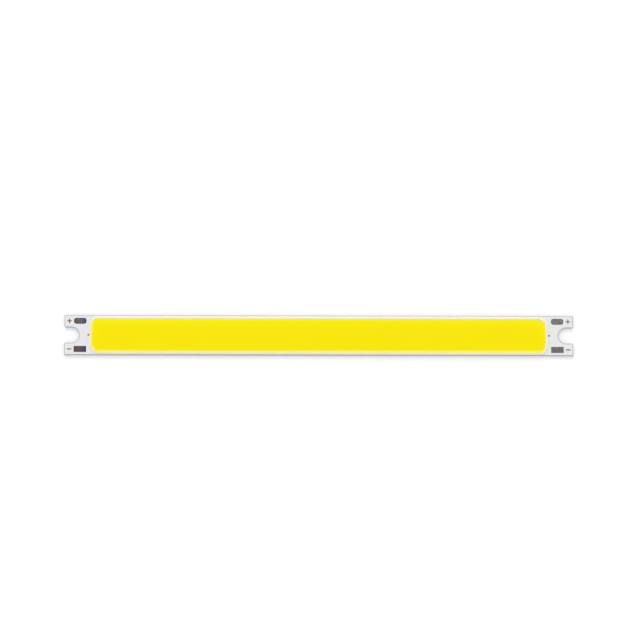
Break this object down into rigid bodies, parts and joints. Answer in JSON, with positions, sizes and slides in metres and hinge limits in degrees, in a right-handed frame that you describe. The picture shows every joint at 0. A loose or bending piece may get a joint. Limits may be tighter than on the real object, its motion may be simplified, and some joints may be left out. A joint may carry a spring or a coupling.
{
  "type": "cob led bar",
  "caption": "Flat LED light bar: aluminium board with screw notches, solder pads, and a strip of yellow phosphor gel in a white silicone dam.",
  "frame": {"origin": "middle of the bar, on the bare aluminium back", "axes": "+X along the bar, +Y towards its positive side, +Z out of the lit face"},
  "size_m": [0.12, 0.0094, 0.0015],
  "materials": {
    "bare_aluminium": "bare, brushed across the bar",
    "dielectric": "filled epoxy, matt",
    "copper": "etched foil",
    "silver_plate": "bright plating",
    "white_mask": "white lacquer, semi-gloss",
    "tin": "levelled solder, bright",
    "tinned_figure": "tinned copper, dull",
    "clear_silicone": "clear",
    "blue_chip": "polished sapphire",
    "gold_wire": "bright",
    "white_silicone": "satin, slightly translucent",
    "phosphor_silicone": "satin, opaque"
  },
  "bodies": {
    "root": {"base_plate": "bare_aluminium", "insulation_layer": "dielectric", "positive_track": "copper", "negative_track": "copper", "chip_plane": "silver_plate", "solder_mask": "white_mask", "positive_pads": "tin", "negative_pads": "tin", "plus_marks": "tinned_figure", "minus_marks": "tinned_figure", "locating_dots": "tin", "die_glue_row_1": "clear_silicone", "die_glue_row_2": "clear_silicone", "die_glue_row_3": "clear_silicone", "die_glue_row_4": "clear_silicone", "led_chip_row_1": "blue_chip", "led_chip_row_2": "blue_chip", "led_chip_row_3": "blue_chip", "led_chip_row_4": "blue_chip", "bond_wire_row_1": "gold_wire", "bond_wire_row_2": "gold_wire", "bond_wire_row_3": "gold_wire", "bond_wire_row_4": "gold_wire", "bond_wire_row_5": "gold_wire", "dam": "white_silicone", "phosphor_gel": "phosphor_silicone"}
  },
  "joints": []
}
